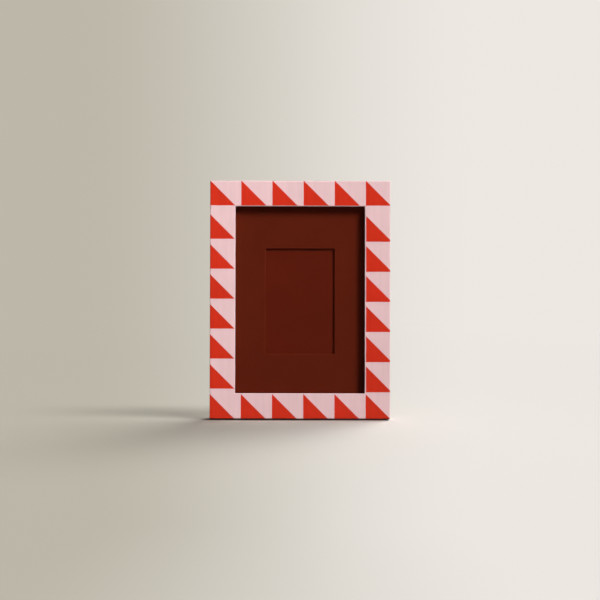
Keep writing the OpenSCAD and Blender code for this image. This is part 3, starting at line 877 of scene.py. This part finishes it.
class PICTUREFRAME_OT_strut(FrameStep, bpy.types.Operator):
    """Wrap the strut's board in suede, cut level at the foot"""

    bl_idname = "picture_frame.strut"
    bl_label = "Strut"

    def execute(self, context):
        colours, sizes = looks(context)
        points = points_in(ON_STRUT, "strut_cover")
        low, high = box_of(points)
        half = max(p.x for p in points if p.z > 0)
        side = [p.z for p in points if abs(p.x - half) < MERGE]
        flare, straight = min(side), max(side)
        corner = high.z - straight
        spread = (high.x - half) / (flare - low.z)
        right = [(high.x + spread * FOOT_SPARE, low.z - FOOT_SPARE), (half, flare)]
        right += [(half - corner + corner * math.cos(a), straight + corner * math.sin(a)) for a in QUARTER]
        outline = right + [(-x, z) for x, z in reversed(right)]
        shape = bmesh.new()
        slab(shape, ON_STRUT, outline, low.y, high.y)
        cut(shape, Vector(), Vector((0, 0, -1)))
        bearing = span(LEANED, "strut_cover")[0].y
        cut(shape, LEANED @ Vector((0, bearing, 0)), FACE_WAY)
        ease(shape, sizes.wrap_ease, steps=3, sharp=SMOOTH)
        suede = suede_finish("strut_suede", colours.suede, ON_STRUT)
        add_piece("suede_strut", as_mesh(shape, "suede_strut"), suede, "strut", "suede_cloth",
                  "strut_board", "strut_cover")
        return {"FINISHED"}


# Stage

# Directions in degrees: round from the camera's side to the right, height, and the lamp's width
FLOOR_LAMPS = {
    "rear": (152, 38.5, 20), "corner": (137, 46, 44), "side": (77, 53, 17), "high": (59, 63.5, 14)}
KEY_WAY = (38.2, 44.8, 30)
FILL_WAY = (-20, 40, 110)
LEFT_BACK_WAY = (-140, 8, 80)
BACK_WAY = (155, 8, 40)
KEY_DISTANCE = 4.0  # metres from the face's middle
KEY_CONE = math.radians(56)
KEY_AIM = Vector((-1.0, -0.40, 0.62))  # past the face, so that the light fades across it
FLOOR_RADIUS = 30.0
FLOOR_DROP = 0.02 * MM  # a hair below the frame's foot
LIT_TO, PLAIN_FROM = 0.55, 1.0  # distances between which the lit floor turns into the plain one
FLOOR_BOUNCE = (0.36, 0.345, 0.325, 1)  # the floor's colour for the light that it throws back
MIRROR_DEPTH = -0.5  # the floor's tones are mirrored in front of this
LEAST_DEPTH = 0.2  # the surroundings' tones change no faster than at this depth
CAMERA_SIDE = (0, -0.95, 0.3)  # the surroundings are dim this way
DIM_FROM, DIM_TO = 0.35, 0.85  # how squarely that way they start to dim, and are dimmest
DIM_LEVEL = 0.08  # what is left of them there
AIM_DROP = 0.3 * MM  # how far below the face's middle the camera looks
SENSOR = 36  # wide, in millimetres


def toned(tree, across, stage):
    """The background's colour by how far across the picture a place lies."""
    share = ranged(tree, across, stage.left_end, stage.right_end, smooth=True)
    return mixed(tree, share, shade(stage.left_tone), shade(stage.right_tone))


def seen_ray(tree):
    """One for rays that show the place itself: from the camera, off metal, and through glass."""
    path = put(tree, "ShaderNodeLightPath").outputs
    shown = calc(tree, "MAXIMUM", path["Is Camera Ray"], path["Is Glossy Ray"])
    return calc(tree, "MAXIMUM", shown, path["Is Transmission Ray"])


def floor_finish(stage):
    """Pale floor: lit round the frame, so that it keeps the shadow, and plain further off."""
    material, tree, place = new_finish("studio_floor", Matrix())
    axes = axes_of(tree, place)
    depth = calc(tree, "MAXIMUM", calc(tree, "ADD", axes["Y"], stage.distance),
                 calc(tree, "SUBTRACT", stage.distance + 2 * MIRROR_DEPTH, axes["Y"]))
    pale = toned(tree, calc(tree, "DIVIDE", axes["X"], depth), stage)
    seen = seen_ray(tree)
    lit = made(tree, "ShaderNodeBsdfDiffuse", {"Color": mixed(tree, seen, FLOOR_BOUNCE, pale)})
    dull = made(tree, "ShaderNodeBsdfDiffuse", {"Color": FLOOR_BOUNCE})
    plain = made(tree, "ShaderNodeEmission", {"Color": pale})
    plain = made(tree, "ShaderNodeMixShader", {0: seen, 1: dull, 2: plain})
    away = calc(tree, "SQRT", squares(tree, axes["X"], axes["Y"]))
    fade = ranged(tree, away, LIT_TO, PLAIN_FROM, smooth=True)
    whole = made(tree, "ShaderNodeMixShader", {0: fade, 1: lit, 2: plain})
    put(tree, "ShaderNodeOutputMaterial", {"Surface": whole})
    return material


def studio_world(stage):
    """Pale surroundings, dim behind the camera, as in a studio with its lights to the sides."""
    world = bpy.data.worlds.new("studio")
    bpy.context.scene.world = world
    world.use_nodes = True
    tree = world.node_tree
    tree.nodes.clear()
    way = put(tree, "ShaderNodeTexCoord").outputs["Generated"]
    axes = axes_of(tree, way)
    depth = calc(tree, "MAXIMUM", calc(tree, "ABSOLUTE", axes["Y"]), LEAST_DEPTH)
    pale = toned(tree, calc(tree, "DIVIDE", axes["X"], depth), stage)
    towards = put(tree, "ShaderNodeVectorMath", {0: way, 1: CAMERA_SIDE},
                  operation="DOT_PRODUCT").outputs["Value"]
    front = ranged(tree, towards, DIM_FROM, DIM_TO, 1.0, DIM_LEVEL, smooth=True)
    level = mixed(tree, seen_ray(tree), (stage.sky, stage.sky, stage.sky, 1), pale)
    strength = calc(tree, "MAXIMUM", front, put(tree, "ShaderNodeLightPath").outputs["Is Camera Ray"])
    light = made(tree, "ShaderNodeBackground", {"Color": level, "Strength": strength})
    put(tree, "ShaderNodeOutputWorld", {"Surface": light})


def heading(azimuth, elevation):
    """A direction by its angle round from the camera's side to the right and its height, in degrees."""
    a, e = math.radians(azimuth), math.radians(elevation)
    return Vector((math.sin(a) * math.cos(e), -math.cos(a) * math.cos(e), math.sin(e)))


def hang(name, lamp, place, aim):
    """Puts a lamp or a camera at a place and aims it at a point."""
    holder = bpy.data.objects.new(name, lamp)
    bpy.context.scene.collection.objects.link(holder)
    holder.location = place
    holder.rotation_euler = (place - aim).to_track_quat("Z", "Y").to_euler()
    return holder


def sun(name, share, way, normal):
    """A soft lamp far away that gives a surface a share of the light that shows its true colour."""
    lamp = bpy.data.lights.new(name, "SUN")
    towards = heading(*way[:2])
    lamp.energy = share * math.pi / towards.dot(normal)
    lamp.angle = math.radians(way[2])
    return hang(name, lamp, towards, Vector())


def key_lamp(share, normal):
    """A soft lamp that fades away from its aim, as strong in its middle as a share of the face's light."""
    lamp = bpy.data.lights.new("key", "SPOT")
    towards = heading(*KEY_WAY[:2])
    lamp.energy = share * math.pi / towards.dot(normal) * 4 * math.pi * KEY_DISTANCE ** 2
    lamp.shadow_soft_size = KEY_DISTANCE * math.tan(math.radians(KEY_WAY[2]) / 2)
    lamp.spot_size = KEY_CONE
    lamp.spot_blend = 1.0
    return hang("key", lamp, FACE_MIDDLE + KEY_DISTANCE * towards, FACE_MIDDLE + KEY_AIM)


class PICTUREFRAME_OT_stage(FrameStep, bpy.types.Operator):
    """Set up the floor, the surroundings, the lamps and the camera"""

    bl_idname = "picture_frame.stage"
    bl_label = "Studio"

    def execute(self, context):
        stage = context.scene.picture_frame_stage
        ground = self.floor(stage)
        studio_world(stage)
        self.lamps(stage, ground)
        self.camera(stage)
        context.scene.view_settings.view_transform = "Standard"
        return {"FINISHED"}

    def floor(self, stage):
        """A wide round floor."""
        shape = bmesh.new()
        bmesh.ops.create_circle(shape, cap_ends=True, segments=64, radius=FLOOR_RADIUS)
        mesh = bpy.data.meshes.new("floor")
        shape.to_mesh(mesh)
        shape.free()
        mesh.materials.append(floor_finish(stage))
        ground = bpy.data.objects.new("floor", mesh)
        ground.location.z = -FLOOR_DROP
        bpy.context.scene.collection.objects.link(ground)
        return ground

    def lamps(self, stage, ground):
        """Four lamps draw the frame's shadow on the floor, and four light the frame."""
        up = Vector((0, 0, 1))
        for_floor = [sun(name, getattr(stage, name), way, up) for name, way in FLOOR_LAMPS.items()]
        for_frame = [
            key_lamp(stage.key, FACE_WAY), sun("fill", stage.fill, FILL_WAY, FACE_WAY),
            sun("left_back", stage.back / 3, LEFT_BACK_WAY, -FACE_WAY),
            sun("back", stage.back, BACK_WAY, -FACE_WAY)]
        for_frame[-1].visible_glossy = False  # its mirror image would burn out the brass
        for lamps, state in ((for_floor, "INCLUDE"), (for_frame, "EXCLUDE")):
            group = bpy.data.collections.new("floor_" + state.lower() + "d")
            group.objects.link(ground)
            group.collection_objects[0].light_linking.link_state = state
            for lamp in lamps:
                lamp.light_linking.receiver_collection = group
                if state == "EXCLUDE":
                    lamp.light_linking.blocker_collection = group

    def camera(self, stage):
        """A long lens in front of the frame's face, looking down a little."""
        lens = bpy.data.cameras.new("camera")
        lens.sensor_width = SENSOR
        lens.lens = SENSOR * stage.distance / stage.field
        aim = FACE_MIDDLE + Vector((0, 0, -AIM_DROP))
        holder = hang("camera", lens, aim + stage.distance * heading(0, math.degrees(stage.elevation)), aim)
        holder.rotation_euler.rotate_axis("Z", stage.roll)
        bpy.context.scene.camera = holder


STEPS = (
    PICTUREFRAME_OT_stage, PICTUREFRAME_OT_moulding, PICTUREFRAME_OT_border, PICTUREFRAME_OT_picture,
    PICTUREFRAME_OT_back, PICTUREFRAME_OT_hinge, PICTUREFRAME_OT_rivets, PICTUREFRAME_OT_pull_tab,
    PICTUREFRAME_OT_strut)


class PICTUREFRAME_PT_panel(bpy.types.Panel):
    """Steps and settings of the picture frame"""

    bl_idname = "PICTUREFRAME_PT_panel"
    bl_label = "Picture Frame"
    bl_space_type = "VIEW_3D"
    bl_region_type = "UI"
    bl_category = "Picture Frame"

    def draw(self, context):
        for step in STEPS:
            self.layout.operator(step.bl_idname)
        for group in GROUPS:
            box = self.layout.box()
            settings = getattr(context.scene, group)
            for name in settings.bl_rna.properties.keys():
                if name not in ("rna_type", "name"):
                    box.prop(settings, name)


GROUPS = {
    "picture_frame_colours": PICTUREFRAME_PG_colours,
    "picture_frame_sizes": PICTUREFRAME_PG_sizes,
    "picture_frame_stage": PICTUREFRAME_PG_stage,
}


def register():
    for kind in (*GROUPS.values(), *STEPS, PICTUREFRAME_PT_panel):
        bpy.utils.register_class(kind)
    for name, kind in GROUPS.items():
        setattr(bpy.types.Scene, name, PointerProperty(type=kind))


def unregister():
    for name in GROUPS:
        delattr(bpy.types.Scene, name)
    for kind in reversed((*GROUPS.values(), *STEPS, PICTUREFRAME_PT_panel)):
        bpy.utils.unregister_class(kind)


def main():
    register()
    for step in STEPS:
        group, name = step.bl_idname.split(".")
        getattr(getattr(bpy.ops, group), name)()


if __name__ == "__main__":
    main()
